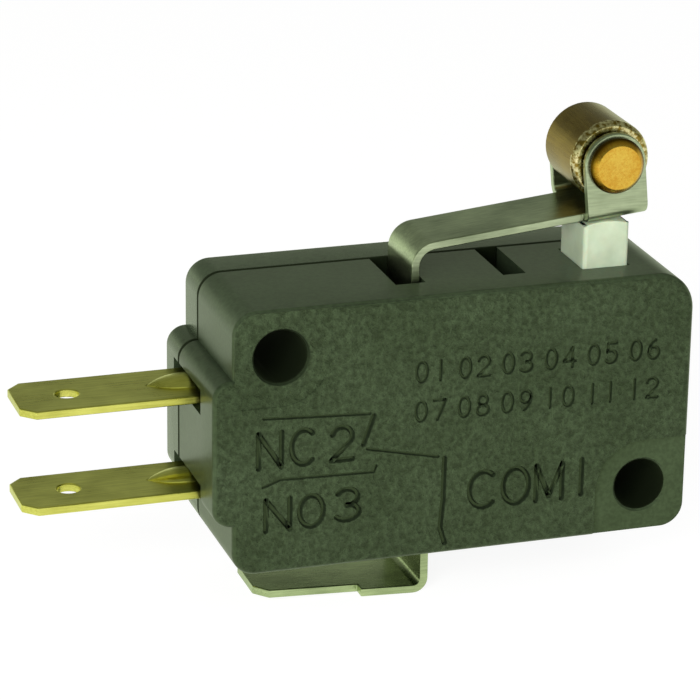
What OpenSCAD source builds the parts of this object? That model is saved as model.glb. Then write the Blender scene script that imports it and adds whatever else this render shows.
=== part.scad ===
// Roller lever snap-action switch, standard miniature size.
// Millimetres. The origin is the centre of the lower mounting hole at half thickness.
// +X runs from the terminal end to the plunger end, +Y from the marked front face to the
// back cover, +Z from the mounting side to the lever.

/* [Case] */
// Length of the moulded case, without the terminal boss
case_length = 27.8; // [27.2:0.1:30]
// Height of the moulded case
case_height = 15.9; // [15.7:0.1:17.5]
// Thickness over the case and its back cover
case_thickness = 10.3; // [9.9:0.1:12]
// Thickness of the back cover
cover_thickness = 2.9; // [2.7:0.1:3.2]
// Thickness of the moulded walls
wall = 1.5; // [1.2:0.1:1.6]
// Radius of the case corners
corner_r = 1.4; // [0.9:0.1:1.8]
// Radius of the corner beside the plunger
plunger_corner_r = 2.3; // [1.5:0.1:2.5]
// Radius of the moulded edges round the front and back faces
edge_r = 0.35; // [0.15:0.05:0.6]

/* [Terminal boss] */
// Depth of the boss that carries the end terminals
boss_depth = 1.15; // [0.9:0.05:1.8]
// Bottom of the boss above the hole centre
boss_bottom = 0.25; // [-0.3:0.05:0.4]
// Top of the boss above the hole centre
boss_top = 9.1; // [8.6:0.1:9.6]
// Radius of the boss corners
boss_r = 1.1; // [0.7:0.1:1.4]
// Depth of the pocket in the boss round each terminal
pocket_depth = 1; // [0.4:0.1:1.2]
// Room in the pocket round each terminal
pocket_room = 0.5; // [0.2:0.05:0.7]

/* [Mounting holes] */
// Diameter of the mounting holes
hole_d = 3.1; // [2.8:0.05:3.4]
// Hole centres from the nearest end and side of the case
hole_edge = 2.8; // [2.6:0.1:3]
// Half width of the sunk pad round each hole
pad_r = 2.95; // [2.5:0.05:3]
// Depth of the lower hole's pad
pad_depth = 0.35; // [0.1:0.05:0.6]
// Depth of the upper hole's pad
upper_pad_depth = 0.1; // [0.05:0.05:0.5]
// Lead-in chamfer of the holes
hole_lead = 0.15; // [0.05:0.05:0.3]

/* [Lever slots] */
// Width of the slot that holds the lever
lever_slot = 1.8; // [1.6:0.1:2]
// Width of the spare slot
spare_slot = 1.4; // [1:0.1:1.8]
// Centre of the spare slot, left of the hole centre
spare_slot_x = 7.5; // [6.6:0.1:8.5]
// Front end of both slots, in front of half thickness
slot_front = 2.75; // [2.5:0.05:3.2]

/* [Terminals] */
// Width of the terminal tabs
tab_width = 4.75; // [4.4:0.05:4.9]
// Thickness of the terminal strip
tab_thick = 0.5; // [0.4:0.05:0.6]
// Tab length outside the boss
tab_reach = 10.15; // [7:0.05:12]
// Middle of the tabs, behind half thickness
tab_y = 0.4; // [0.2:0.05:0.6]
// Upper tab above the hole centre
nc_level = 7.03; // [6.9:0.01:7.05]
// Lower tab above the hole centre
no_level = 1.22; // [1:0.02:1.6]
// Chamfer on the tab corners
tab_chamfer = 0.8; // [0.4:0.05:1.2]
// Diameter of the hole in each tab
tab_hole = 1.4; // [1:0.1:1.8]
// Tab hole from the tip
tab_hole_reach = 3.1; // [2.4:0.1:4]
// Length of the pressed rib at the root of each tab
rib_length = 2.3; // [1.5:0.1:3]
// Radius of the pressed rib
rib_r = 0.7; // [0.4:0.05:0.9]

/* [Common terminal] */
// Common terminal leg, left of the hole centre
com_leg_x = 12.6; // [12.2:0.1:13]
// Distance from the case bottom to the bent tab
com_drop = 2.93; // [2.2:0.05:3.6]
// Tab length from the leg to the tip
com_reach = 10.05; // [8:0.05:11]
// Inner radius of the bend
com_bend_r = 0.4; // [0.3:0.05:0.8]
// Upward slope of the bent tab
com_slope = 2.8; // [0:0.2:6]
// Width of the terminal at its root
com_root_width = 6.25; // [5.4:0.05:6.4]
// Length of the wide root along the tab
com_root_reach = 3.2; // [2:0.1:4]

/* [Lever] */
// Width of the lever strip
lever_width = 4.3; // [3.8:0.1:4.6]
// Thickness of the lever strip
lever_thick = 0.5; // [0.4:0.05:0.6]
// Middle of the lever, in front of half thickness
lever_y = 0.25; // [0.1:0.05:0.35]
// Lever leg, left of the hole centre
lever_leg_x = 13.4; // [13:0.1:13.8]
// Slope of the free lever
lever_slope = 5.8; // [5:0.1:7]
// Inner radius of the lever bend
lever_bend_r = 1; // [0.6:0.1:1.3]
// Middle of the lever bend above the case
lever_rise = 0.77; // [0.6:0.01:1.2]
// Lever length from the bend to the roller pin
lever_reach = 10.945; // [10.4:0.005:12]
// Length of the hook under the case wall
hook_length = 1.95; // [1.2:0.05:2.1]
// Gap between the hook and the case wall
hook_gap = 0.45; // [0.4:0.05:0.8]

/* [Roller] */
// Diameter of the roller
roller_d = 4.75; // [4:0.05:5.2]
// Length of the roller
roller_length = 4.6; // [4:0.05:4.75]
// Chamfer on the roller rims
roller_chamfer = 0.25; // [0.1:0.05:0.5]
// Width of each ear
ear_width = 3.7; // [3.4:0.1:4.2]
// Width over both ears
ear_spread = 6; // [5.9:0.05:6.4]
// Roller pin above the top of the lever strip
pin_rise = 2.85; // [2.75:0.05:3.4]
// Diameter of the roller pin
pin_d = 1.9; // [1.4:0.05:2.2]
// Radial clearance of the roller on its pin
pin_gap = 0.05; // [0.03:0.01:0.1]
// Diameter of the riveted pin heads
pin_head_d = 3.3; // [2.8:0.1:3.5]
// Height of the riveted pin heads
pin_head = 0.6; // [0.4:0.05:0.8]

/* [Plunger] */
// Middle of the plunger, left of the hole centre
plunger_x = 1.95; // [1.8:0.05:2.1]
// Middle of the plunger, in front of half thickness
plunger_y = 1.075; // [0.9:0.025:1.2]
// Width of the plunger along the case
plunger_width = 2.8; // [2.4:0.1:3]
// Depth of the plunger across the case
plunger_depth = 3.75; // [3.2:0.05:4]
// Radius of the plunger's upright corners
plunger_r = 0.25; // [0.1:0.05:0.35]
// Gap round the plunger in its hole
plunger_gap = 0.08; // [0.05:0.01:0.15]
// Step of the plunger flange under the case wall
flange_step = 0.5; // [0.3:0.05:0.6]
// Radius of the plunger crown under the lever
crown_r = 5; // [3:0.5:8]

/* [Contacts] */
// Contacts from the terminal end of the case
contact_inset = 4.7; // [4.5:0.1:4.9]
// Diameter of the contact heads
contact_d = 2.4; // [1.8:0.1:2.6]
// Height of the fixed contact heads
contact_head = 0.6; // [0.5:0.05:0.7]
// Open gap to the lower contact
contact_gap = 0.6; // [0.4:0.05:0.8]
// Thickness of the snap blade
blade_thick = 0.2; // [0.1:0.05:0.25]
// Width of the snap blade
blade_width = 4; // [3.6:0.1:4.2]
// Height of the moving contact heads
moving_head = 0.45; // [0.35:0.05:0.55]

/* [Hidden] */
$fn = 64;
over = 1;
x_right = hole_edge;
x_left = x_right - case_length;
z_bottom = -hole_edge;
z_top = z_bottom + case_height;
pitch_x = case_length - 2 * hole_edge;
pitch_z = case_height - 2 * hole_edge;
y_front = -case_thickness / 2;
y_back = case_thickness / 2;
y_seam = y_back - cover_thickness;
x_boss = x_left - boss_depth;
in_left = x_left + wall;
in_right = x_right - wall;
in_bottom = z_bottom + wall;
in_top = z_top - wall;
in_front = y_front + wall;
in_back = y_back - wall;
inner_r = 0.4;

// Levels of the strips and contacts.
seat_gap = 0.05;
contact_x = -x_left - contact_inset;
contact_rim = contact_d / 2 + 0.4;
nc_under = nc_level - tab_thick / 2;
nc_over = nc_level + tab_thick / 2;
blade_over = nc_under - contact_head - moving_head;
blade_under = blade_over - blade_thick;
no_face = blade_under - moving_head - contact_gap;
no_arm_over = no_face - contact_head;
no_arm_under = no_arm_over - tab_thick;
arm_end = -contact_x + contact_rim;
arm_width = 3.4;
shank_r = contact_d / 4;
upset_r = contact_d * 0.35;
upset_h = 0.2;

// Common terminal.
com_leg_left = -com_leg_x - tab_thick / 2;
com_leg_right = -com_leg_x + tab_thick / 2;
com_bend_x = com_leg_left - com_bend_r;
com_bend_z = z_bottom - com_drop + com_bend_r;
post_width = 2.4;
post_top = blade_under - 0.9;
run_width = 3.2;
riser_right = -pad_r - 0.45;
riser_left = riser_right - tab_thick;
shelf_under = pad_r + seat_gap;
shelf_over = shelf_under + tab_thick;
stand_right = in_right - seat_gap;
stand_left = stand_right - tab_thick;
ledge_left = stand_left - 1.2;
rivet_x = (ledge_left + stand_left) / 2;
rivet_r = 0.5;
rivet_h = 0.3;

// Snap blade.
blade_left = -contact_x - contact_rim;
blade_right = stand_left + 0.15;
window_left = -contact_x + 2.8;
window_right = -plunger_x - plunger_width / 2 - 1.15;
window_width = blade_width - 1.4;
tongue_width = window_width - 0.8;
tongue_r = 4.5;
tongue_dx = com_leg_left - 0.05 - window_left;
tongue_dz = post_top - blade_over + 0.05;
tongue_chord = sqrt(tongue_dx * tongue_dx + tongue_dz * tongue_dz);
tongue_tilt = atan2(tongue_dz, tongue_dx);
tongue_half = asin(tongue_chord / 2 / tongue_r);

// Lever.
leg_left = -lever_leg_x - lever_thick / 2;
leg_right = -lever_leg_x + lever_thick / 2;
bend_x = leg_right + lever_bend_r;
bend_z = z_top + lever_rise;
lever_over = lever_bend_r + lever_thick;
hook_over = in_top - hook_gap;
hook_under = hook_over - lever_thick;
slot_left = -lever_leg_x - 1.3;
slot_right = slot_left + lever_slot;
ear_left = lever_reach - ear_width / 2;
ear_right = lever_reach + ear_width / 2;
ear_bend_r = 0.3;
ear_outer_r = ear_bend_r + lever_thick;
pin_w = lever_over + pin_rise;
pin_r = pin_d / 2;
relief = 0.35;

// Plunger.
crown_gap = 0.03;
under_lever = bend_z + (lever_bend_r - (plunger_x + bend_x) * sin(lever_slope))
    / cos(lever_slope);
crown_z = under_lever - (crown_r + crown_gap) / cos(lever_slope);
flange_over = in_top - seat_gap;
flange_h = 1;
nose_r = 0.9;
nose_depth = 2.8;
nose_z = blade_over + crown_gap + nose_r;

// ---------- shared forms ----------

// A flat outline in X and Z, carried from one Y to another.
module slab(y0, y1) {
    translate([0, y1, 0])
        rotate([90, 0, 0])
            linear_extrude(y1 - y0)
                children();
}

module span(x0, x1, z0, z1) {
    translate([x0, z0])
        square([x1 - x0, z1 - z0]);
}

module round_span(x0, x1, z0, z1, r) {
    span(x0 + r, x1 - r, z0, z1);
    span(x0, x1, z0 + r, z1 - r);
    for (x = [x0 + r, x1 - r], z = [z0 + r, z1 - r])
        translate([x, z])
            circle(r);
}

// A disc with a rounded front rim, for a corner of a moulded block.
module soft_disc(x, z, r, e, y0, h) {
    translate([x, y0, z])
        rotate([-90, 0, 0])
            rotate_extrude()
                difference() {
                    union() {
                        square([r - e, h]);
                        translate([0, e])
                            square([r, h - e]);
                        translate([r - e, e])
                            circle(e);
                    }
                    translate([-r, -over])
                        square([r, h + 2 * over]);
                }
}

// A moulded block with round corners and a rounded edge round its front face.
module soft_block(x0, x1, z0, z1, r, e, y0, h) {
    for (x = [x0 + r, x1 - r], z = [z0 + r, z1 - r])
        soft_disc(x, z, r, e, y0, h);
    translate([0, 0, z0 + r])
        linear_extrude(z1 - z0 - 2 * r) {
            span(x0 + e, x1 - e, y0, y0 + h);
            span(x0, x1, y0 + e, y0 + h);
            for (x = [x0 + e, x1 - e])
                translate([x, y0 + e])
                    circle(e);
        }
    translate([x0 + r, 0, 0])
        rotate([90, 0, 90])
            linear_extrude(x1 - x0 - 2 * r) {
                span(y0, y0 + h, z0 + e, z1 - e);
                span(y0 + e, y0 + h, z0, z1);
                for (z = [z0 + e, z1 - e])
                    translate([y0 + e, z])
                        circle(e);
            }
}

// The outer form from the front face back to the depth h.
module shell_half(h) {
    px = x_right - plunger_corner_r;
    pz = z_top - plunger_corner_r;
    difference() {
        soft_block(x_left, x_right, z_bottom, z_top, corner_r, edge_r, y_front, h);
        slab(y_front - over, y_front + h + over)
            span(px, x_right + over, pz, z_top + over);
    }
    soft_disc(px, pz, plunger_corner_r, edge_r, y_front, h);
    soft_block(x_boss, x_left + 2 * boss_r + wall, boss_bottom, boss_top,
        boss_r, edge_r, y_front, h);
}

// Square to the case corner and round towards the middle, about the lower hole.
module pad_outline(r, past) {
    circle(r);
    span(-r, hole_edge + past, -hole_edge - past, 0);
    span(0, hole_edge + past, 0, r);
}

module upper_hole() {
    translate([-pitch_x, pitch_z])
        rotate(180)
            children();
}

module cavity_outline() {
    difference() {
        round_span(in_left, in_right, in_bottom, in_top, inner_r);
        pad_outline(pad_r, over);
        upper_hole()
            pad_outline(pad_r, over);
    }
}

module hole_cut(x, z, y_open) {
    translate([x, y_front - over, z])
        rotate([-90, 0, 0])
            cylinder(h = case_thickness + 2 * over, d = hole_d);
    translate([x, y_open, z])
        rotate([-90, 0, 0])
            cylinder(h = hole_lead, d1 = hole_d + 2 * hole_lead, d2 = hole_d);
    translate([x, y_back - hole_lead, z])
        rotate([-90, 0, 0])
            cylinder(h = hole_lead, d1 = hole_d, d2 = hole_d + 2 * hole_lead);
}

// What passes through both halves: holes, terminal pockets and terminal slots.
module through_cuts() {
    hole_cut(0, 0, y_front + pad_depth);
    hole_cut(-pitch_x, pitch_z, y_front + upper_pad_depth);
    for (z = [nc_level, no_level]) {
        translate([x_boss - over, tab_y - tab_width / 2 - pocket_room,
            z - tab_thick / 2 - pocket_room])
            cube([over + pocket_depth, tab_width + 2 * pocket_room,
                tab_thick + 2 * pocket_room]);
        translate([x_boss - over, tab_y - tab_width / 2, z - tab_thick / 2])
            cube([in_left - x_boss + 2 * over, tab_width, tab_thick]);
    }
    translate([com_leg_left, tab_y - com_root_width / 2, z_bottom - over])
        cube([tab_thick, com_root_width, wall + 2 * over]);
}

// ---------- moulded case and cover ----------

module case() {
    color("DimGray")
    difference() {
        shell_half(y_seam - y_front);
        slab(in_front, y_seam + over)
            cavity_outline();
        slab(y_front - over, y_front + pad_depth)
            pad_outline(pad_r, over);
        slab(y_front - over, y_front + upper_pad_depth)
            intersection() {
                upper_hole()
                    pad_outline(pad_r, wall + over);
                span(x_left, x_right, z_bottom, z_top + over);
            }
        slab(-slot_front, y_seam + over)
            span(slot_left, slot_right, in_top - over, z_top + over);
        slab(-slot_front, y_seam + over)
            span(-spare_slot_x - spare_slot / 2, -spare_slot_x + spare_slot / 2,
                in_top - over, z_top + over);
        translate([-plunger_x - plunger_width / 2 - plunger_gap,
            -plunger_y - plunger_depth / 2 - plunger_gap, in_top - over])
            cube([plunger_width + 2 * plunger_gap, plunger_depth + 2 * plunger_gap,
                wall + 2 * over]);
        through_cuts();
    }
}

module cover() {
    color("SlateGray")
    difference() {
        mirror([0, 1, 0])
            shell_half(cover_thickness);
        slab(y_seam - over, in_back)
            cavity_outline();
        through_cuts();
    }
}

// ---------- plunger ----------

module plunger() {
    color("White")
    translate([-plunger_x, -plunger_y, 0]) {
        intersection() {
            translate([0, 0, flange_over - flange_h])
                linear_extrude(crown_z + crown_r - flange_over + 2 * flange_h)
                    round_span(-plunger_width / 2, plunger_width / 2,
                        -plunger_depth / 2, plunger_depth / 2, plunger_r);
            union() {
                translate([0, plunger_depth, crown_z])
                    rotate([90, 0, 0])
                        cylinder(h = 2 * plunger_depth, r = crown_r, $fn = 128);
                translate([-plunger_width, -plunger_depth, flange_over - flange_h])
                    cube([2 * plunger_width, 2 * plunger_depth, crown_z - flange_over + flange_h]);
            }
        }
        translate([-plunger_width / 2 - flange_step, -plunger_depth / 2 - flange_step,
            flange_over - flange_h])
            cube([plunger_width + 2 * flange_step, plunger_depth + 2 * flange_step, flange_h]);
        translate([-nose_r, -nose_depth / 2, nose_z])
            cube([2 * nose_r, nose_depth, flange_over - flange_h - nose_z]);
        translate([0, nose_depth / 2, nose_z])
            rotate([90, 0, 0])
                cylinder(h = nose_depth, r = nose_r);
    }
}

// ---------- lever ----------

// The lever is drawn flat about the middle of its bend, then tilted to its slope.
module tilt() {
    translate([bend_x, -lever_y, bend_z])
        rotate([0, -lever_slope, 0])
            children();
}

module ring_part(r, t, a0, a1) {
    big = 3 * (r + t);
    mid = (a0 + a1) / 2;
    intersection() {
        difference() {
            circle(r + t);
            circle(r);
        }
        polygon([[0, 0], [big * cos(a0), big * sin(a0)],
            [big * cos(mid), big * sin(mid)], [big * cos(a1), big * sin(a1)]]);
    }
}

module ear_channel() {
    half = ear_spread / 2;
    inner = half - lever_thick;
    translate([ear_left, 0, 0])
        rotate([90, 0, 90])
            linear_extrude(ear_width)
                difference() {
                    union() {
                        span(-half, half, lever_bend_r + ear_outer_r, pin_w + ear_width);
                        span(-half + ear_outer_r, half - ear_outer_r, lever_bend_r, pin_w);
                        for (y = [-half + ear_outer_r, half - ear_outer_r])
                            translate([y, lever_bend_r + ear_outer_r])
                                circle(ear_outer_r);
                    }
                    span(-inner, inner, lever_over + ear_bend_r, pin_w + 2 * ear_width);
                    span(-inner + ear_bend_r, inner - ear_bend_r, lever_over, pin_w);
                    for (y = [-inner + ear_bend_r, inner - ear_bend_r])
                        translate([y, lever_over + ear_bend_r])
                            circle(ear_bend_r);
                }
}

module leg_outline() {
    span(leg_left, leg_right, hook_over, bend_z + lever_bend_r / 4);
    span(leg_left - hook_length, leg_left, hook_under, hook_over);
    translate([leg_left, hook_over])
        intersection() {
            circle(lever_thick);
            span(0, lever_thick, -lever_thick, 0);
        }
}

module lever() {
    color("Silver")
    tilt() {
        // Strip, bend, leg through the slot and hook under the wall, in one profile.
        slab(-lever_width / 2, lever_width / 2) {
            span(0, ear_left + relief, lever_bend_r, lever_over);
            ring_part(lever_bend_r, lever_thick, 90, 180 - lever_slope);
            // The leg runs a little way into the bend, so that the two are one piece.
            intersection() {
                rotate(-lever_slope)
                    translate([-bend_x, -bend_z])
                        leg_outline();
                union() {
                    rotate(-lever_slope)
                        span(-case_length, case_length, -case_height, 0);
                    difference() {
                        circle(lever_over);
                        circle(lever_bend_r);
                    }
                }
            }
        }
        // Clevis with its two round-topped ears.
        difference() {
            intersection() {
                ear_channel();
                slab(-ear_spread, ear_spread) {
                    span(ear_left, ear_right, 0, pin_w);
                    translate([lever_reach, pin_w])
                        circle(ear_width / 2);
                }
            }
            translate([lever_reach, ear_spread, pin_w])
                rotate([90, 0, 0])
                    cylinder(h = 2 * ear_spread, r = pin_r);
        }
    }
}

module roller() {
    rim = roller_d / 2;
    half = roller_length / 2;
    bore = pin_r + pin_gap;
    color("Peru")
    tilt()
        translate([lever_reach, 0, pin_w])
            rotate([90, 0, 0])
                rotate_extrude($fn = 96)
                    polygon([[bore, -half], [rim - roller_chamfer, -half],
                        [rim, -half + roller_chamfer], [rim, half - roller_chamfer],
                        [rim - roller_chamfer, half], [bore, half]]);
}

module roller_pin() {
    half = ear_spread / 2;
    head = pin_head_d / 2;
    face = head - 0.35;
    color("Gold")
    tilt()
        translate([lever_reach, 0, pin_w])
            rotate([90, 0, 0])
                rotate_extrude()
                    polygon([[0, -half - pin_head], [face, -half - pin_head],
                        [head, -half - pin_head * 0.4], [head, -half], [pin_r, -half],
                        [pin_r, half], [head, half], [head, half + pin_head * 0.4],
                        [face, half + pin_head], [0, half + pin_head]]);
}

// ---------- terminals ----------

// A tab with chamfered corners and a detent hole, its tip at x0 and its root at x1.
module tab_outline(x0, x1) {
    half = tab_width / 2;
    difference() {
        polygon([[x0, -half + tab_chamfer], [x0 + tab_chamfer, -half], [x1, -half],
            [x1, half], [x0 + tab_chamfer, half], [x0, half - tab_chamfer]]);
        translate([x0 + tab_hole_reach, 0])
            circle(d = tab_hole);
    }
}

// A tab at one level, with a narrower arm behind it that reaches to x1.
module tab(level, x1) {
    translate([0, tab_y, level - tab_thick / 2])
        linear_extrude(tab_thick) {
            tab_outline(x_boss - tab_reach, in_left);
            span(x_left, x1, -arm_width / 2, arm_width / 2);
        }
    // Pressed rib on the upper side, pointed outwards.
    intersection() {
        translate([x_boss + pocket_depth, tab_y, level + tab_thick / 2 - rib_r * 0.55])
            rotate([0, -90, 0])
                cylinder(h = rib_length + pocket_depth, r1 = rib_r, r2 = 0.02);
        translate([x_boss - tab_reach, -case_thickness, level])
            cube([2 * tab_reach, 2 * case_thickness, 2 * rib_r]);
    }
}

module rivet_hole(z0) {
    translate([-contact_x, tab_y, z0 - over])
        cylinder(h = tab_thick + 2 * over, r = shank_r);
}

module nc_terminal() {
    color("Goldenrod")
    difference() {
        tab(nc_level, arm_end);
        rivet_hole(nc_under);
    }
}

module no_terminal() {
    riser = in_left + 0.3;
    under = no_level - tab_thick / 2;
    color("Goldenrod")
    difference() {
        union() {
            tab(no_level, in_left);
            slab(tab_y - arm_width / 2, tab_y + arm_width / 2) {
                span(in_left, riser, under, under + tab_thick);
                span(riser, riser + tab_thick, under + tab_thick, no_arm_under);
                span(riser + tab_thick, arm_end, no_arm_under, no_arm_over);
                translate([riser, under + tab_thick])
                    intersection() {
                        circle(tab_thick);
                        span(0, tab_thick, -tab_thick, 0);
                    }
                translate([riser + tab_thick, no_arm_under])
                    intersection() {
                        circle(tab_thick);
                        span(-tab_thick, 0, 0, tab_thick);
                    }
            }
        }
        rivet_hole(no_arm_under);
    }
}

// Everything drawn here follows the common terminal's sloped strip, seen from the bend.
module com_tilt() {
    translate([com_bend_x, 0, com_bend_z])
        rotate([0, com_slope, 0])
            children();
}

// Upright piece of the leg between two heights, in the strip's own slope.
module com_upright(z0, z1) {
    rotate(com_slope)
        translate([-com_bend_x, -com_bend_z])
            span(com_leg_left, com_leg_right, z0, z1);
}

// Side view of strip, bend and leg.
module com_profile() {
    outer_r = com_bend_r + tab_thick;
    span(-com_reach, 0, -outer_r, -com_bend_r);
    ring_part(com_bend_r, tab_thick, -90, com_slope);
    // The leg runs a little way into the bend, so that the two are one piece.
    intersection() {
        com_upright(com_bend_z - com_bend_r / 4, in_bottom + tab_thick / 2);
        union() {
            rotate(com_slope)
                span(-com_reach, com_reach, 0, case_height);
            difference() {
                circle(outer_r);
                circle(com_bend_r);
            }
        }
    }
}

// Plan of the flat blank: wide root, then the narrower tab with its two cut corners.
module com_blank() {
    tip = -(com_reach - tab_thick / 2 - com_bend_r);
    half = tab_width / 2;
    half_root = com_root_width / 2;
    polygon([[tip, -half + tab_chamfer], [tip + tab_chamfer, -half],
        [-com_root_reach, -half], [-com_root_reach, -half_root],
        [com_reach, -half_root], [com_reach, half_root],
        [-com_root_reach, half_root], [-com_root_reach, half],
        [tip + tab_chamfer, half], [tip, half - tab_chamfer]]);
}

module com_terminal() {
    color("Silver")
    difference() {
        translate([0, tab_y, 0]) {
            com_tilt() {
                intersection() {
                    slab(-com_root_width, com_root_width)
                        com_profile();
                    translate([0, 0, -case_height])
                        linear_extrude(2 * case_height)
                            com_blank();
                }
                // Post that the blade's tongue bears on.
                slab(-post_width / 2, post_width / 2)
                    com_upright(in_bottom, post_top);
            }
            // Run along the floor, over the hole boss and up to the blade.
            slab(-run_width / 2, run_width / 2) {
                span(-com_leg_x, riser_right, in_bottom, in_bottom + tab_thick);
                span(riser_left, riser_right, in_bottom, shelf_over);
                span(riser_left, stand_right, shelf_under, shelf_over);
                span(stand_left, stand_right, shelf_under, blade_under);
                span(ledge_left, stand_right, blade_under - tab_thick, blade_under);
            }
        }
        translate([rivet_x, tab_y, blade_under - tab_thick - over])
            cylinder(h = tab_thick + 2 * over, r = rivet_r * 0.6);
    }
}

// ---------- contacts and snap blade ----------

// A contact rivet: its head from z0 to z1, its shank on to z2 and an upset rim to z3.
module contact_rivet(z0, z1, z2, z3) {
    translate([-contact_x, tab_y, 0]) {
        translate([0, 0, min(z0, z1)])
            cylinder(h = abs(z1 - z0), d = contact_d);
        translate([0, 0, min(z1, z2)])
            cylinder(h = abs(z2 - z1), r = shank_r);
        translate([0, 0, min(z2, z3)])
            cylinder(h = abs(z3 - z2), r = upset_r);
    }
}

module nc_contact() {
    color("LightSteelBlue")
        contact_rivet(nc_under - contact_head, nc_under, nc_over, nc_over + upset_h);
}

module no_contact() {
    color("LightSteelBlue")
        contact_rivet(no_face, no_arm_over, no_arm_under, no_arm_under - upset_h);
}

module moving_contact() {
    color("LightSteelBlue")
    translate([-contact_x, tab_y, 0]) {
        translate([0, 0, blade_over])
            cylinder(h = moving_head, d = contact_d);
        translate([0, 0, blade_under])
            cylinder(h = blade_thick, r = shank_r);
        translate([0, 0, blade_under - moving_head])
            cylinder(h = moving_head, d = contact_d);
    }
}

module snap_blade() {
    half = blade_width / 2;
    color("DarkGoldenrod")
    translate([0, tab_y, 0]) {
        // One strip with a long window, which leaves two tension members.
        translate([0, 0, blade_under])
            linear_extrude(blade_thick)
                difference() {
                    round_span(blade_left, blade_right, -half, half, 0.6);
                    span(window_left, window_right, -window_width / 2, window_width / 2);
                    translate([-contact_x, 0])
                        circle(shank_r);
                    translate([rivet_x, 0])
                        circle(rivet_r * 0.6);
                }
        // Bowed tongue from the contact end to the post.
        slab(-tongue_width / 2, tongue_width / 2)
            translate([window_left, blade_over])
                rotate(tongue_tilt)
                    translate([tongue_chord / 2, tongue_r * cos(tongue_half)])
                        ring_part(tongue_r, blade_thick, -90 - tongue_half, -90 + tongue_half);
    }
}

module blade_rivet() {
    color("Gold")
    translate([rivet_x, tab_y, 0]) {
        translate([0, 0, blade_over])
            cylinder(h = rivet_h, r = rivet_r);
        translate([0, 0, blade_under - tab_thick])
            cylinder(h = tab_thick + blade_thick, r = rivet_r * 0.6);
        translate([0, 0, blade_under - tab_thick - rivet_h])
            cylinder(h = rivet_h, r = rivet_r);
    }
}

case();
cover();
plunger();
lever();
roller();
roller_pin();
nc_terminal();
no_terminal();
com_terminal();
nc_contact();
no_contact();
snap_blade();
moving_contact();
blade_rivet();
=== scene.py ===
"""Looks of the roller lever snap-action switch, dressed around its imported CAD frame."""

from math import cos, pi, radians, sin

import bmesh
import bpy
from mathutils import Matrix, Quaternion, Vector


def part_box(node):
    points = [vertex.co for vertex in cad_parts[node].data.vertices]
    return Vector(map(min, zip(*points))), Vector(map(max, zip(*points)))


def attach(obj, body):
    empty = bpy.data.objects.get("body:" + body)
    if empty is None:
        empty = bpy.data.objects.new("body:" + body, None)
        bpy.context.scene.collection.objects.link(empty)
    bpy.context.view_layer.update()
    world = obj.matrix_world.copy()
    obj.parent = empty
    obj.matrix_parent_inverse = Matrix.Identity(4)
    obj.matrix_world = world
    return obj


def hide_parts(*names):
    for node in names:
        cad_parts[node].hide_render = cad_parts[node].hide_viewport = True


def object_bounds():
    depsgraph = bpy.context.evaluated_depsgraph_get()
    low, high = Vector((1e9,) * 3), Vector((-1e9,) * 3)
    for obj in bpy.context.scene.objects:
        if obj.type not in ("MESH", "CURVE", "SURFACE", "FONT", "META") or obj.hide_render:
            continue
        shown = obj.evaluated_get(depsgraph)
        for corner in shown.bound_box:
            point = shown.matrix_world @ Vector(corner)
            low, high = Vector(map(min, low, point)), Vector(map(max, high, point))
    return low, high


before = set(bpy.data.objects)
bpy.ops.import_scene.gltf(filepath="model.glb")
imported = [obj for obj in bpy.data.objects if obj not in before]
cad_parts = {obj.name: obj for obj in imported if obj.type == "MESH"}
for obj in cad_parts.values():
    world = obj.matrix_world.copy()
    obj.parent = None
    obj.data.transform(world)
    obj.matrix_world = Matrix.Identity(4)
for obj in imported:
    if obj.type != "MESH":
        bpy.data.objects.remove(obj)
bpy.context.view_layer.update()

MM = 0.001


# ---------------------------------------------------------------- case and back cover
# The housing is a deep case with a flat back cover, both compression moulded in a dark olive
# phenolic with wood flour in it. The terminals are trapped between the halves. The case
# front carries sunk marks and a fine spark-eroded texture; the lower hole pad is bare.

# Where things are, in the frame of the lower mounting hole.
FRONT_Y = -5.15 * MM
SEAM_Y = 2.25 * MM
UPPER_PAD_Y = -5.05 * MM
SHOWN_PAD_Y = -5.125 * MM
SAME_PLACE = 0.005 * MM
BORE_R = 1.58 * MM
BORES = ((0.0, 0.0), (-22.2 * MM, 10.3 * MM))
CASE_MIDDLE = Vector((-11.1, 0, 5.15)) * MM
# A box that holds the layer just behind the front face, clear of the case's own sides.
MARKED_MIDDLE = Vector((-11.1, -4.98, 5.15)) * MM
MARKED_REACH = Vector((13.2, 0.12, 7.4)) * MM

# How large the fine details are.
SEAM_BREAK = 0.22 * MM
# Half the width of the band of painted shade and dust along the joint.
SEAM_DUST_AND_SHADE = 0.17 * MM
MARK_WIDTH = 0.34 * MM
MARK_DEPTH = 0.24 * MM
FINE_WIDTH = 0.20 * MM
FINE_DEPTH = 0.14 * MM
MARK_FLOOR = 0.22
CUTTER_RISE = 0.3 * MM
FLOW_SIZE = 6 * MM
SPECK_SIZE = 0.25 * MM
TEXTURE_GRAIN = 0.40 * MM
TEXTURE_HEIGHT = 0.30 * MM
TEXTURE_EDGE = 0.03 * MM

# How meshes are cleaned up.
WELD = 0.5e-6
FLAT_ANGLE = 0.4
CREASE_ANGLE = 32
SHARP_ANGLE = 35


def linear(code):
    """An sRGB hex colour as the linear values that a shader socket takes."""
    parts = [int(code[i:i + 2], 16) / 255 for i in (1, 3, 5)]
    return [p / 12.92 if p <= 0.04045 else ((p + 0.055) / 1.055) ** 2.4 for p in parts] + [1.0]


def new_material(name):
    """An empty node material, and the tree to fill."""
    material = bpy.data.materials.new(name)
    material.use_nodes = True
    tree = material.node_tree
    tree.nodes.clear()
    return material, tree


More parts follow.
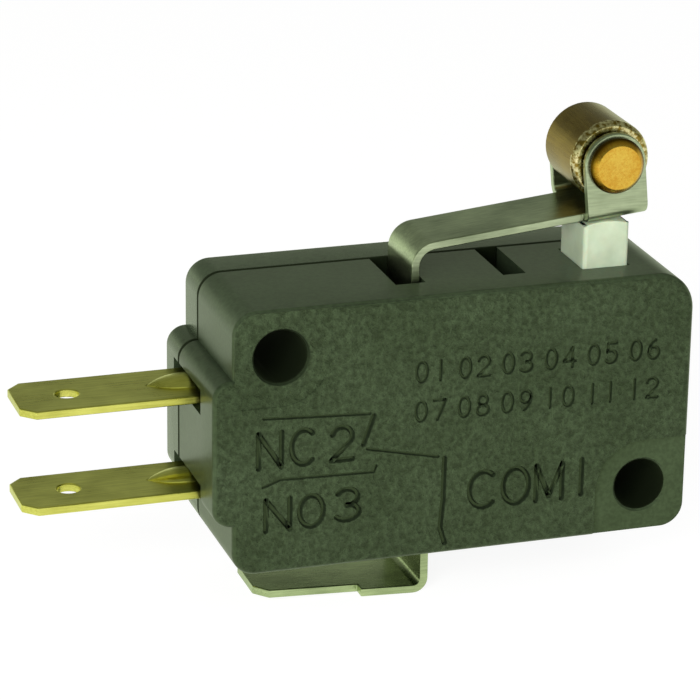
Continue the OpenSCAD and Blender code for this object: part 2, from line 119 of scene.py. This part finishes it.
def add(tree, kind, settings=None, **links):
    """One node: settings by attribute or socket name, links by socket name or number."""
    node = tree.nodes.new(kind)
    for key, value in (settings or {}).items():
        if hasattr(node, str(key)):
            setattr(node, key, value)
        else:
            node.inputs[key].default_value = value
    for key, source in links.items():
        name = int(key[1:]) if key[0] == "i" and key[1:].isdigit() else key.replace("_", " ")
        socket = source if isinstance(source, bpy.types.NodeSocket) else source.outputs[0]
        tree.links.new(socket, node.inputs[name])
    return node


def ramp(tree, factor, stops):
    """A colour ramp over factor, with stops as pairs of place and hex colour."""
    node = add(tree, "ShaderNodeValToRGB", i0=factor)
    elements = node.color_ramp.elements
    while len(elements) < len(stops):
        elements.new(0.5)
    for element, (place, code) in zip(elements, stops):
        element.position = place
        element.color = linear(code)
    return node


def mesh_object(name, mesh):
    """A new object of the scene that shows the mesh."""
    piece = bpy.data.objects.new(name, mesh)
    bpy.context.scene.collection.objects.link(piece)
    return piece


def smooth(mesh, angle=CREASE_ANGLE):
    """Smooth shading with creases wherever two faces turn by more than the angle."""
    for polygon in mesh.polygons:
        polygon.use_smooth = True
    mesh.set_sharp_from_angle(angle=radians(angle))


def welded_copy(node, name):
    """The solid of a CAD node as a new closed mesh, with its flat faces made whole."""
    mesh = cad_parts[node].data.copy()
    if "custom_normal" in mesh.attributes:
        mesh.attributes.remove(mesh.attributes["custom_normal"])
    mesh.name = name
    mesh.materials.clear()
    shape = bmesh.new()
    shape.from_mesh(mesh)
    bmesh.ops.remove_doubles(shape, verts=shape.verts, dist=WELD)
    bmesh.ops.dissolve_limit(shape, angle_limit=radians(FLAT_ANGLE), verts=shape.verts,
                             edges=shape.edges)
    shape.to_mesh(mesh)
    shape.free()
    return mesh_object(name, mesh)


def apply_modifiers(piece):
    """Bakes a piece's modifiers into its mesh."""
    bpy.context.view_layer.update()
    shown = piece.evaluated_get(bpy.context.evaluated_depsgraph_get())
    mesh = bpy.data.meshes.new_from_object(shown)
    old = piece.data
    piece.modifiers.clear()
    piece.data = mesh
    mesh.name = piece.name
    bpy.data.meshes.remove(old)


def arc(x, z, rx, rz, start, end, steps=10):
    """Points on an ellipse about x and z, from one angle to another in degrees."""
    angles = [radians(start + (end - start) * i / steps) for i in range(steps + 1)]
    return [(x + rx * cos(a), z + rz * sin(a)) for a in angles]


# Letters and figures as single strokes in a cell 1 wide and 1 high.
STROKES = {
    "N": [[(0, 0), (0, 1)], [(0, 1), (1, 0)], [(1, 0), (1, 1)]],
    "C": [arc(0.55, 0.5, 0.55, 0.5, 50, 310, 14)],
    "O": [arc(0.5, 0.5, 0.5, 0.5, 0, 360, 20)],
    "M": [[(0, 0), (0, 1)], [(0, 1), (0.5, 0.1)], [(0.5, 0.1), (1, 1)], [(1, 1), (1, 0)]],
    "0": [arc(0.5, 0.5, 0.45, 0.5, 0, 360, 18)],
    "1": [[(0.5, 0), (0.5, 1)]],
    "2": [arc(0.5, 0.7, 0.46, 0.3, 165, -25, 10) + [(0, 0)], [(0, 0), (1, 0)]],
    "3": [arc(0.42, 0.74, 0.46, 0.26, 150, -90, 10), arc(0.42, 0.25, 0.52, 0.25, 90, -150, 10)],
    "4": [[(0.75, 0), (0.75, 1)], [(0.75, 1), (0, 0.3)], [(0, 0.3), (1, 0.3)]],
    "5": [[(0.9, 1), (0.15, 1)], [(0.15, 1), (0.1, 0.55)], arc(0.42, 0.31, 0.5, 0.31, 130, -150, 12)],
    "6": [arc(0.5, 0.3, 0.45, 0.3, 0, 360, 16), arc(0.95, 0.3, 0.9, 0.7, 110, 180, 8)],
    "7": [[(0, 1), (1, 1)], [(1, 1), (0.3, 0)]],
    "8": [arc(0.5, 0.75, 0.38, 0.25, 0, 360, 16), arc(0.5, 0.26, 0.48, 0.26, 0, 360, 16)],
    "9": [arc(0.5, 0.7, 0.45, 0.3, 0, 360, 16), arc(0.05, 0.7, 0.9, 0.7, -70, 0, 8)],
}


def figures(text, x, z, width, height, pitch):
    """The strokes of a word whose first cell has its lower left corner at x and z."""
    lines = []
    for i, sign in enumerate(text):
        for stroke in STROKES[sign]:
            lines.append([(x + i * pitch + u * width, z + v * height) for u, v in stroke])
    return lines


def trench(shape, line, width, depth):
    """Adds to a cutter one closed solid along a stroke: round ends and sloping sides."""
    points = [Vector((x, z)) for x, z in line]
    closed = (points[0] - points[-1]).length < 1e-7
    if closed:
        points.pop()
    count = len(points)

    def side(i):
        """The direction square to the stroke at a point, towards its left."""
        before = points[i - 1] if closed or i else points[0]
        after = points[(i + 1) % count] if closed or i < count - 1 else points[-1]
        along = (after - before).normalized()
        return Vector((-along.y, along.x))

    def round_end(point, start, heading, half):
        """Points on a half circle from start round to its opposite, by way of heading."""
        turns = [pi * k / 6 for k in range(1, 6)]
        return [point + (start * cos(turn) + heading * sin(turn)) * half for turn in turns]

    levels = ((width / 2, FRONT_Y - CUTTER_RISE), (width / 2, FRONT_Y),
              (width * MARK_FLOOR, FRONT_Y + depth))
    rings = []
    for half, y in levels:
        left = [points[i] + side(i) * half for i in range(count)]
        right = [points[i] - side(i) * half for i in range(count)]
        if closed:
            loops = (left, right)
        else:
            first, last = side(0), side(count - 1)
            loops = (left + round_end(points[-1], last, Vector((last.y, -last.x)), half)
                     + right[::-1] + round_end(points[0], -first, Vector((-first.y, first.x)), half),)
        rings.append([[shape.verts.new((p.x, y, p.y)) for p in loop] for loop in loops])
    for below, above in zip(rings, rings[1:]):
        for loop_a, loop_b in zip(below, above):
            size = len(loop_a)
            for i in range(size):
                j = (i + 1) % size
                shape.faces.new((loop_a[i], loop_a[j], loop_b[j], loop_b[i]))
    for ring in (rings[0], rings[-1]):
        if closed:
            left, right = ring
            for i in range(count):
                j = (i + 1) % count
                shape.faces.new((left[i], left[j], right[j], right[i]))
        else:
            shape.faces.new(ring[0])


def phenolic(name, textured, gloss):
    """Moulded phenolic: dark olive, glossy where the mould was polished, faintly speckled."""
    material, tree = new_material(name)
    place = add(tree, "ShaderNodeTexCoord").outputs["Object"]
    # Slow cloudiness from the flow of the powder in the mould.
    flow = add(tree, "ShaderNodeTexNoise", {"Scale": 1 / FLOW_SIZE, "Detail": 3.0}, Vector=place)
    # Wood flour specks, drawn a little large so that they show.
    speck = add(tree, "ShaderNodeTexNoise", {"Scale": 1 / SPECK_SIZE, "Detail": 2.0}, Vector=place)
    body = ramp(tree, flow, ((0.30, "#364130"), (0.70, "#44503D")))
    light = ramp(tree, speck, ((0.35, "#5C5C54"), (0.65, "#A2A898")))
    clean = add(tree, "ShaderNodeMix", {"data_type": "RGBA", "blend_type": "SOFT_LIGHT", 0: 0.6},
                i6=body, i7=light)
    # Painted shade and some dust darken the joint between the halves; painted shade darkens the
    # insides of the two bores.
    split = add(tree, "ShaderNodeSeparateXYZ", i0=place)
    dark = add(tree, "ShaderNodeMath", {"operation": "COMPARE", 1: SEAM_Y, 2: SEAM_DUST_AND_SHADE},
               i0=split.outputs[1])
    flat = add(tree, "ShaderNodeCombineXYZ", i0=split.outputs[0], i2=split.outputs[2])
    for x, z in BORES:
        reach = add(tree, "ShaderNodeVectorMath", {"operation": "DISTANCE", 1: (x, 0, z)}, i0=flat)
        inside = add(tree, "ShaderNodeMath", {"operation": "LESS_THAN", 1: BORE_R},
                     i0=reach.outputs["Value"])
        dark = add(tree, "ShaderNodeMath", {"operation": "MAXIMUM"}, i0=dark, i1=inside)
    # Painted shade darkens the bottoms of the marks: a thin layer just behind the front face.
    layer = None
    for axis in range(3):
        near = add(tree, "ShaderNodeMath", {"operation": "COMPARE", 1: MARKED_MIDDLE[axis],
                                            2: MARKED_REACH[axis]}, i0=split.outputs[axis])
        layer = near if layer is None else add(tree, "ShaderNodeMath", {"operation": "MULTIPLY"},
                                               i0=layer, i1=near)
    mark_shade = add(tree, "ShaderNodeMath", {"operation": "MULTIPLY", 1: 0.6}, i0=layer)
    shade = add(tree, "ShaderNodeMath", {"operation": "MAXIMUM"}, i0=dark, i1=mark_shade)
    # The colour of the painted shade in the joint, the bores and the marks.
    colour = add(tree, "ShaderNodeMix", {"data_type": "RGBA", 7: linear("#12170E")}, i0=shade,
                 i6=clean.outputs[2])
    shader = add(tree, "ShaderNodeBsdfPrincipled",
                 {"IOR": 1.5, "Specular Tint": (0.75, 1.0, 0.45, 1.0)})
    tree.links.new(colour.outputs[2], shader.inputs["Base Color"])
    polish = add(tree, "ShaderNodeMapRange", {"To Min": gloss, "To Max": gloss + 0.14}, Value=flow)
    dull = add(tree, "ShaderNodeMath", {"operation": "MULTIPLY", 1: 0.6}, i0=dark)
    sheen = add(tree, "ShaderNodeMath", {"operation": "ADD"}, i0=polish, i1=dull)
    fine = add(tree, "ShaderNodeBump", {"Strength": 0.2, "Distance": 0.02 * MM}, Height=speck)
    rough, last = sheen, fine
    if textured:
        # Spark-eroded pattern in the mould, only on the front and clear of the lower hole pad.
        grain = add(tree, "ShaderNodeTexNoise", {"Scale": 1 / TEXTURE_GRAIN, "Detail": 3.0,
                                                 "Roughness": 0.65}, Vector=place)
        front = add(tree, "ShaderNodeMath", {"operation": "LESS_THAN", 1: FRONT_Y + TEXTURE_EDGE},
                    i0=split.outputs[1])
        height = add(tree, "ShaderNodeMath", {"operation": "MULTIPLY"}, i0=grain, i1=front)
        last = add(tree, "ShaderNodeBump", {"Strength": 1.0, "Distance": TEXTURE_HEIGHT},
                   Height=height, Normal=fine)
        mottle = ramp(tree, height, ((0.0, "#F4F4F4"), (0.36, "#C0C0C0"), (0.58, "#FFFFFF")))
        spotted = add(tree, "ShaderNodeMix", {"data_type": "RGBA", "blend_type": "MULTIPLY", 0: 1.0},
                      i6=colour.outputs[2], i7=mottle)
        tree.links.new(spotted.outputs[2], shader.inputs["Base Color"])
        matt = add(tree, "ShaderNodeMath", {"operation": "MULTIPLY", 1: 0.22}, i0=front)
        rough = add(tree, "ShaderNodeMath", {"operation": "ADD"}, i0=sheen, i1=matt)
    tree.links.new(rough.outputs[0], shader.inputs["Roughness"])
    tree.links.new(last.outputs[0], shader.inputs["Normal"])
    add(tree, "ShaderNodeOutputMaterial", Surface=shader)
    return material


def break_seam(piece):
    """Takes the sharp outer edge off a half where it meets the other, so the joint shows."""
    shape = bmesh.new()
    shape.from_mesh(piece.data)
    shape.normal_update()
    edges = []
    for edge in shape.edges:
        if len(edge.link_faces) != 2:
            continue
        if any(abs(vert.co.y - SEAM_Y) > SAME_PLACE for vert in edge.verts):
            continue
        out = (edge.verts[0].co + edge.verts[1].co) / 2 - CASE_MIDDLE
        out.y = 0
        walls = [face for face in edge.link_faces if abs(face.normal.y) < 0.3]
        if len(walls) == 1 and walls[0].normal.dot(out) > 0:
            edges.append(edge)
    bmesh.ops.bevel(shape, geom=edges, offset=SEAM_BREAK, offset_type="OFFSET", segments=1,
                    profile=0.5, affect="EDGES", clamp_overlap=True)
    shape.to_mesh(piece.data)
    shape.free()


def rounded(piece, width, segments=2, crease=180):
    """Rounds every sharp edge and keeps the shading of the flat faces flat."""
    smooth(piece.data, crease)
    bevel = piece.modifiers.new("edges", "BEVEL")
    bevel.width = width
    bevel.segments = segments
    bevel.limit_method = "ANGLE"
    bevel.angle_limit = radians(SHARP_ANGLE)
    bevel.use_clamp_overlap = False
    shading = piece.modifiers.new("shading", "WEIGHTED_NORMAL")
    shading.keep_sharp = True
    apply_modifiers(piece)


def finish_piece(piece, node, body, material):
    """Gives a new mesh its material and puts it in the place of a CAD node."""
    piece.data.materials.append(material)
    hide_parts(node)
    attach(piece, body)


# The marks of the contacts, in mm: text, lower left corner, width and height of a cell, pitch.
CONTACT_MARKS = (
    ("NC", -23.5, 3.72, 1.35, 2.1, 1.95),
    ("2", -19.2, 3.75, 1.3, 2.0, 2.0),
    ("NO", -23.05, -0.15, 1.42, 1.9, 2.0),
    ("3", -18.8, 0.0, 1.4, 1.9, 2.0),
    ("COM", -10.8, -0.15, 1.6, 2.2, 2.07),
    ("1", -4.35, -0.05, 1.0, 2.2, 2.0),
)
# The plain circuit lines that lead to them, in mm.
CIRCUIT_BOLD = (
    ((-16.68, 6.22), (-17.28, 4.55)),
    ((-12.37, 3.16), (-12.40, 0.57), (-12.54, -1.16), (-12.24, -2.14)),
)
CIRCUIT_FINE = (
    ((-23.2, 6.72), (-16.9, 6.38)),
    ((-23.23, 2.56), (-22.17, 2.94), (-16.60, 2.80), (-16.5, 3.16)),
    ((-17.05, 4.25), (-12.75, 3.30)),
)
# A mould's month grid, in mm: plain numbers in two rows.
GRID_ROWS = (7.98, 5.58)
GRID_COLUMNS = 6
GRID_X = -14.2
GRID_PITCH = 2.62

bold_marks = []
for text, *sizes in CONTACT_MARKS:
    bold_marks += figures(text, *(size * MM for size in sizes))
bold_marks += [[(x * MM, z * MM) for x, z in line] for line in CIRCUIT_BOLD]
fine_marks = [[(x * MM, z * MM) for x, z in line] for line in CIRCUIT_FINE]
for row, z in enumerate(GRID_ROWS):
    for column in range(GRID_COLUMNS):
        month = f"{row * GRID_COLUMNS + column + 1:02d}"
        x = GRID_X + GRID_PITCH * column
        fine_marks += figures(month, x * MM, z * MM, 0.72 * MM, 1.2 * MM, 1.12 * MM)

cutter_shape = bmesh.new()
for line in bold_marks:
    trench(cutter_shape, line, MARK_WIDTH, MARK_DEPTH)
for line in fine_marks:
    trench(cutter_shape, line, FINE_WIDTH, FINE_DEPTH)
bmesh.ops.recalc_face_normals(cutter_shape, faces=cutter_shape.faces)
cutter_mesh = bpy.data.meshes.new("mark_cutter")
cutter_shape.to_mesh(cutter_mesh)
cutter_shape.free()
cutter = mesh_object("mark_cutter", cutter_mesh)

case = welded_copy("case", "marked_case")
# The upper pad is only a faint step, so its face comes forward almost to the front.
for vert in case.data.vertices:
    if abs(vert.co.y - UPPER_PAD_Y) < SAME_PLACE:
        vert.co.y = SHOWN_PAD_Y
cut = case.modifiers.new("marks", "BOOLEAN")
cut.operation = "DIFFERENCE"
cut.solver = "EXACT"
cut.use_self = True
cut.object = cutter
apply_modifiers(case)
bpy.data.objects.remove(cutter)
break_seam(case)
smooth(case.data)
# Satin where the mould was etched, with a soft mirror on the ends and the top.
finish_piece(case, "case", "housing",
             phenolic("moulded_phenolic_textured", True, 0.26))

cover = welded_copy("cover", "plain_cover")
break_seam(cover)
smooth(cover.data)
# The same compound off a polished mould: smoother and a little brighter on its ends.
finish_piece(cover, "cover", "housing",
             phenolic("moulded_phenolic_plain", False, 0.14))


# ---------------------------------------------------------------- metal strip parts
# Terminals are blanked from half-hard brass strip, the common one tinned after bending.
# The lever is blanked from spring steel. Every strip keeps a narrow bright edge.

TAB_TIP = -36.3 * MM
TAB_Y = 0.4 * MM
TAB_HALF = 4.75 / 2 * MM
TAB_CORNER = 0.8 * MM
TAB_THICK = 0.5 * MM
TIP_DROP = 0.17 * MM
TIP_LENGTH = 1.1 * MM
TIP_CREASE = 6
RIB_ROOT = -25.9 * MM
RIB_LENGTH = 2.7 * MM
RIB_HALF = 1.1 * MM
RIB_HIGH = 0.48 * MM
RIB_SUNK = 0.05 * MM
RIB_ROWS = 8
RIB_STEPS = 12
RIB_FULLNESS = 2.6
RIB_POINT = 0.02
STRIP_EDGE = 0.07 * MM
STREAK = 0.12 * MM
STREAK_SQUASH = 0.06
CLOUD_SIZE = 3 * MM


def metal(name, dark, light, roughness, streak, along):
    """Rolled metal strip: fine streaks along the rolling direction over a cloudy tone."""
    material, tree = new_material(name)
    place = add(tree, "ShaderNodeTexCoord").outputs["Object"]
    stretch = [1.0, 1.0, 1.0]
    stretch[along] = STREAK_SQUASH
    pulled = add(tree, "ShaderNodeMapping", {"Scale": stretch}, Vector=place)
    lines = add(tree, "ShaderNodeTexNoise", {"Scale": 1 / streak, "Detail": 3.0}, Vector=pulled)
    cloud = add(tree, "ShaderNodeTexNoise", {"Scale": 1 / CLOUD_SIZE, "Detail": 4.0}, Vector=place)
    both = add(tree, "ShaderNodeMix", {"data_type": "FLOAT", 0: 0.6}, i2=lines, i3=cloud)
    tone = ramp(tree, both, ((0.30, dark), (0.68, light)))
    shader = add(tree, "ShaderNodeBsdfPrincipled", {"Metallic": 1.0})
    tree.links.new(tone.outputs[0], shader.inputs["Base Color"])
    rough = add(tree, "ShaderNodeMapRange", {"To Min": roughness - 0.08, "To Max": roughness + 0.1},
                Value=both)
    tree.links.new(rough.outputs[0], shader.inputs["Roughness"])
    bump = add(tree, "ShaderNodeBump", {"Strength": 0.3, "Distance": 0.01 * MM}, Height=lines)
    tree.links.new(bump.outputs[0], shader.inputs["Normal"])
    add(tree, "ShaderNodeOutputMaterial", Surface=shader)
    return material


def dress(node, material):
    """Gives a CAD node that keeps its own mesh a new material."""
    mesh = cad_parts[node].data
    mesh.materials.clear()
    mesh.materials.append(material)


def thin_tip(shape, level):
    """Coins the end of a push-on tab to a wedge: its tip and both angled corners."""
    tip = Vector((TAB_TIP, TAB_Y, level))
    side = TAB_HALF - TAB_CORNER
    for up in (1, -1):
        for heading, point in (((1, 0), (0, 0)), ((1, 1), (0, -side)), ((1, -1), (0, side))):
            inward = Vector((*heading, 0)).normalized()
            edge = tip + Vector((*point, up * (TAB_THICK / 2 - TIP_DROP)))
            facing = Vector((0, 0, up)) * TIP_LENGTH - inward * TIP_DROP
            parts = shape.verts[:] + shape.edges[:] + shape.faces[:]
            result = bmesh.ops.bisect_plane(shape, geom=parts, plane_co=edge, plane_no=facing,
                                            clear_outer=True, dist=0.2e-6)
            rim = [part for part in result["geom_cut"] if isinstance(part, bmesh.types.BMEdge)]
            bmesh.ops.edgeloop_fill(shape, edges=[edge for edge in rim if edge.is_boundary])


def press_rib(shape, level):
    """Adds the pointed rib that is pressed up at the root of a tab."""
    rings = []
    for i in range(RIB_ROWS + 1):
        share = i / RIB_ROWS
        x = RIB_ROOT - RIB_LENGTH * share
        taper = max(1 - share ** RIB_FULLNESS, RIB_POINT)
        ring = []
        for k in range(RIB_STEPS + 1):
            turn = pi * k / RIB_STEPS
            y = TAB_Y + cos(turn) * RIB_HALF * taper
            z = level + TAB_THICK / 2 - RIB_SUNK + sin(turn) * (RIB_HIGH + RIB_SUNK) * taper
            ring.append(shape.verts.new((x, y, z)))
        rings.append(ring)
    for first, second in zip(rings, rings[1:]):
        for k in range(RIB_STEPS):
            shape.faces.new((first[k], second[k], second[k + 1], first[k + 1]))
        shape.faces.new((first[-1], second[-1], second[0], first[0]))
    shape.faces.new(list(reversed(rings[0])))
    shape.faces.new(rings[-1])


# Yellow brass with a dull olive bloom and streaks along the tab.
brass_strip = metal("half_hard_brass_strip", "#B2AC44", "#EFE980", 0.28, STREAK, 0)
for node in ("nc_terminal", "no_terminal"):
    tab = welded_copy(node, node + "_strip")
    shape = bmesh.new()
    shape.from_mesh(tab.data)
    tip_heights = [vert.co.z for vert in shape.verts if vert.co.x < TAB_TIP + 2 * SAME_PLACE]
    level = (min(tip_heights) + max(tip_heights)) / 2
    thin_tip(shape, level)
    press_rib(shape, level)
    bmesh.ops.recalc_face_normals(shape, faces=shape.faces)
    shape.to_mesh(tab.data)
    shape.free()
    rounded(tab, STRIP_EDGE, crease=TIP_CREASE)
    finish_piece(tab, node, "housing", brass_strip)

# Tin over brass: pale and soft, with a green-grey cast.
common = welded_copy("com_terminal", "com_terminal_strip")
rounded(common, STRIP_EDGE)
finish_piece(common, "com_terminal", "housing",
             metal("tinned_brass_strip", "#8A9472", "#CCD8AC", 0.26, STREAK, 0))
# Bright rolled steel, brushed along the lever.
lever = welded_copy("lever", "lever_strip")
rounded(lever, STRIP_EDGE)
finish_piece(lever, "lever", "lever_arm",
             metal("spring_steel_strip", "#868F76", "#CDD6B8", 0.30, STREAK, 0))
# Inside the case: white silver, pink copper and yellow brass, all clean.
silver = metal("contact_silver", "#B9B9B0", "#E6E6DE", 0.25, 0.1 * MM, 1)
for node in ("nc_contact", "no_contact", "moving_contact"):
    dress(node, silver)
dress("snap_blade", metal("beryllium_copper_strip", "#A2693F", "#D79A66", 0.3, 0.1 * MM, 0))
dress("blade_rivet", metal("brass_rivet_wire", "#A08A3C", "#D6C170", 0.3, 0.1 * MM, 1))


# ---------------------------------------------------------------- plunger
# The plunger is injection moulded in white acetal. It is a little see-through at its
# edges and has a soft, waxy shine.

PLUNGER_EDGE = 0.08 * MM

# A cool white with slow cloudiness and light that spreads just below the skin.
material, tree = new_material("moulded_white_acetal")
place = add(tree, "ShaderNodeTexCoord").outputs["Object"]
cloud = add(tree, "ShaderNodeTexNoise", {"Scale": 1 / (1.5 * MM), "Detail": 3.0}, Vector=place)
tone = ramp(tree, cloud, ((0.3, "#ADBB9E"), (0.7, "#C4D1B5")))
shader = add(tree, "ShaderNodeBsdfPrincipled", {"IOR": 1.48, "Roughness": 0.38,
                                                "Subsurface Weight": 0.25,
                                                "Subsurface Scale": 0.6 * MM})
tree.links.new(tone.outputs[0], shader.inputs["Base Color"])
bump = add(tree, "ShaderNodeBump", {"Strength": 0.15, "Distance": 0.02 * MM}, Height=cloud)
tree.links.new(bump.outputs[0], shader.inputs["Normal"])
add(tree, "ShaderNodeOutputMaterial", Surface=shader)
plunger = welded_copy("plunger", "plunger_moulding")
rounded(plunger, PLUNGER_EDGE)
finish_piece(plunger, "plunger", "push_button", material)


# ---------------------------------------------------------------- roller and its pin
# The roller is a plain bush of sintered bronze, turned on its outside. It runs on a brass
# pin whose two ends are spun over the lever's ears.

AXIS_X = -1.7006 * MM
AXIS_Z = 19.3038 * MM
ROLLER_R = 2.4 * MM
# How far back from the roller's front the painted highlight reaches.
ROLLER_HIGHLIGHT_BAND = 0.45 * MM
TURNED_STREAK = 0.14 * MM
# The size of the glints in that painted highlight.
GLINT_SIZE = 0.24 * MM
ROLLER_EDGE = 0.05 * MM
PIN_EDGE = 0.04 * MM


def turned(name, dark, light, roughness, zones, highlight_y=None):
    """Turned metal, tinted by its distance from the roller axis, with a painted highlight in glints
    along its front rim.
    """
    material = metal(name, dark, light, roughness, TURNED_STREAK, 1)
    tree = material.node_tree
    shader = next(node for node in tree.nodes if node.type == "BSDF_PRINCIPLED")
    base = shader.inputs["Base Color"].links[0].from_socket
    place = add(tree, "ShaderNodeTexCoord").outputs["Object"]
    split = add(tree, "ShaderNodeSeparateXYZ", i0=place)
    flat = add(tree, "ShaderNodeCombineXYZ", i0=split.outputs[0], i2=split.outputs[2])
    reach = add(tree, "ShaderNodeVectorMath", {"operation": "DISTANCE", 1: (AXIS_X, 0, AXIS_Z)},
                i0=flat)
    radius = add(tree, "ShaderNodeMapRange", {"From Max": ROLLER_R}, Value=reach.outputs["Value"])
    tint = ramp(tree, radius, zones)
    mixed = add(tree, "ShaderNodeMix", {"data_type": "RGBA", "blend_type": "MULTIPLY", 0: 1.0},
                i6=base, i7=tint)
    last = mixed
    # A painted highlight along the front rim, broken into glints by noise.
    if highlight_y is not None:
        rim = add(tree, "ShaderNodeMath", {"operation": "LESS_THAN", 1: highlight_y}, i0=split.outputs[1])
        glint_noise = add(tree, "ShaderNodeTexNoise", {"Scale": 1 / GLINT_SIZE, "Detail": 2.0}, Vector=place)
        bright = add(tree, "ShaderNodeMapRange", {"From Min": 0.42, "From Max": 0.62, "To Max": 0.75},
                     Value=glint_noise)
        share = add(tree, "ShaderNodeMath", {"operation": "MULTIPLY"}, i0=rim, i1=bright)
        last = add(tree, "ShaderNodeMix", {"data_type": "RGBA", 7: linear("#FFF2C4")}, i0=share,
                   i6=mixed.outputs[2])
    tree.links.new(last.outputs[2], shader.inputs["Base Color"])
    return material


# Brown bronze, darker than the brass, with a painted highlight in glints along the rim at the front.
roller = welded_copy("roller", "turned_roller")
rounded(roller, ROLLER_EDGE)
finish_piece(roller, "roller", "roller_wheel",
             turned("sintered_bronze", "#745C1E", "#A48A40", 0.26,
                    ((0.0, "#FFFFFF"), (0.90, "#FFFFFF"), (1.0, "#E8E0C0")),
                    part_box("roller")[0].y + ROLLER_HIGHLIGHT_BAND))
# Spun end: a flat gold disc, with painted shade darkening the ring round its base.
pin = welded_copy("roller_pin", "spun_pin")
rounded(pin, PIN_EDGE, 3)
finish_piece(pin, "roller_pin", "lever_arm",
             turned("spun_brass", "#D08A28", "#F4CC60", 0.26,
                    ((0.0, "#FFFFFF"), (0.52, "#FFFFF4"), (0.60, "#D8D0A0"), (0.66, "#5E5A34"))))


# ---------------------------------------------------------------- stage, light and camera
# A white floor and backdrop, a soft key lamp from the left, a weak fill from the right, and a
# long lens well above the switch.

# Reflections pick up a slightly green studio; the camera and the lamps' own light stay white.
STUDIO_TINT = (0.88, 1.0, 0.72, 1.0)

FLOOR_HALF = 1.5
FLOOR_GAP = 0.02 * MM

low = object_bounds()[0]
floor_mesh = bpy.data.meshes.new("floor")
shape = bmesh.new()
bmesh.ops.create_grid(shape, x_segments=1, y_segments=1, size=FLOOR_HALF)
shape.to_mesh(floor_mesh)
shape.free()
floor = mesh_object("floor", floor_mesh)
floor.location.z = low.z - FLOOR_GAP
# White where the camera sees it, with the switch's own shadow on it.
material, tree = new_material("white_floor")
path = add(tree, "ShaderNodeLightPath")
# Reflections see a floor that is bright behind the switch and falls off towards its front.
split = add(tree, "ShaderNodeSeparateXYZ", i0=add(tree, "ShaderNodeTexCoord").outputs["Object"])
behind = add(tree, "ShaderNodeMapRange", {"From Min": -30 * MM, "From Max": 10 * MM, "To Min": 0.50,
                                          "To Max": 0.85}, Value=split.outputs[1])
mirrored = add(tree, "ShaderNodeMath", {"operation": "MULTIPLY"}, i0=path.outputs["Is Glossy Ray"],
               i1=behind)
seen = add(tree, "ShaderNodeMath", {"operation": "MAXIMUM"}, i0=path.outputs["Is Camera Ray"],
           i1=mirrored)
share = add(tree, "ShaderNodeMath", {"operation": "MULTIPLY", 1: 0.8}, i0=seen)
matt = add(tree, "ShaderNodeBsdfDiffuse", {"Color": linear("#F4F4F2")})
tone = add(tree, "ShaderNodeMix", {"data_type": "RGBA", 6: STUDIO_TINT, 7: (1, 1, 1, 1)},
           i0=path.outputs["Is Camera Ray"])
glow = add(tree, "ShaderNodeEmission", {"Strength": 1.12}, Color=tone.outputs[2])
mixed = add(tree, "ShaderNodeMixShader", i0=share, i1=matt, i2=glow)
add(tree, "ShaderNodeOutputMaterial", Surface=mixed)
floor_mesh.materials.append(material)

world = bpy.data.worlds.new("studio")
bpy.context.scene.world = world
world.use_nodes = True
tree = world.node_tree
tree.nodes.clear()
# The camera sees white. Reflections see white at the horizon and a dim ceiling above it.
path = add(tree, "ShaderNodeLightPath")
split = add(tree, "ShaderNodeSeparateXYZ", i0=add(tree, "ShaderNodeTexCoord").outputs["Generated"])
ceiling = add(tree, "ShaderNodeMapRange", {"From Min": 0.04, "From Max": 0.28, "To Min": 1.0,
                                           "To Max": 0.24}, Value=split.outputs[2])
bounced = add(tree, "ShaderNodeMapRange", {"To Min": 0.36}, i0=path.outputs["Is Glossy Ray"],
              To_Max=ceiling)
straight = add(tree, "ShaderNodeMath", {"operation": "MAXIMUM"}, i0=path.outputs["Is Camera Ray"],
               i1=path.outputs["Is Transmission Ray"])
level = add(tree, "ShaderNodeMath", {"operation": "MAXIMUM"}, i0=bounced, i1=straight)
tone = add(tree, "ShaderNodeMix", {"data_type": "RGBA", 6: (1, 1, 1, 1), 7: STUDIO_TINT},
           i0=path.outputs["Is Glossy Ray"])
backdrop = add(tree, "ShaderNodeBackground", Strength=level, Color=tone.outputs[2])
add(tree, "ShaderNodeOutputWorld", Surface=backdrop)

aim = Vector((-15.70, 2.38, 7.46)) * MM


def lamp(name, swing, lift, distance, size, watts):
    """A square soft box that looks at the switch from a compass swing and a height."""
    data = bpy.data.lights.new(name, "AREA")
    data.shape = "SQUARE"
    data.size = size
    data.energy = watts
    light = bpy.data.objects.new(name, data)
    round_z, up = radians(swing), radians(lift)
    out = Vector((sin(round_z) * cos(up), -cos(round_z) * cos(up), sin(up)))
    light.location = aim + out * distance
    light.rotation_euler = out.to_track_quat("Z", "Y").to_euler()
    # The lamps light the faces but aren't mirrored in them: the floor and the backdrop are.
    light.visible_glossy = False
    bpy.context.scene.collection.objects.link(light)


lamp("key_box", -34, 20, 0.30, 0.16, 0.90)
lamp("fill_box", 35, 35, 0.35, 0.25, 0.22)

CAMERA_DISTANCE = 199.1 * MM

camera_data = bpy.data.cameras.new("camera")
camera_data.lens = 174.56
camera_data.sensor_width = 36
camera_data.clip_start = 0.01
camera = bpy.data.objects.new("camera", camera_data)
swing, lift, lean = radians(18.217), radians(20.065), radians(0.825)
gaze = Vector((sin(swing) * cos(lift), cos(swing) * cos(lift), -sin(lift)))
camera.location = aim - gaze * CAMERA_DISTANCE
camera.rotation_mode = "QUATERNION"
camera.rotation_quaternion = gaze.to_track_quat("-Z", "Y") @ Quaternion((0, 0, 1), lean)
bpy.context.scene.collection.objects.link(camera)
bpy.context.scene.camera = camera
bpy.context.scene.view_settings.view_transform = "Standard"
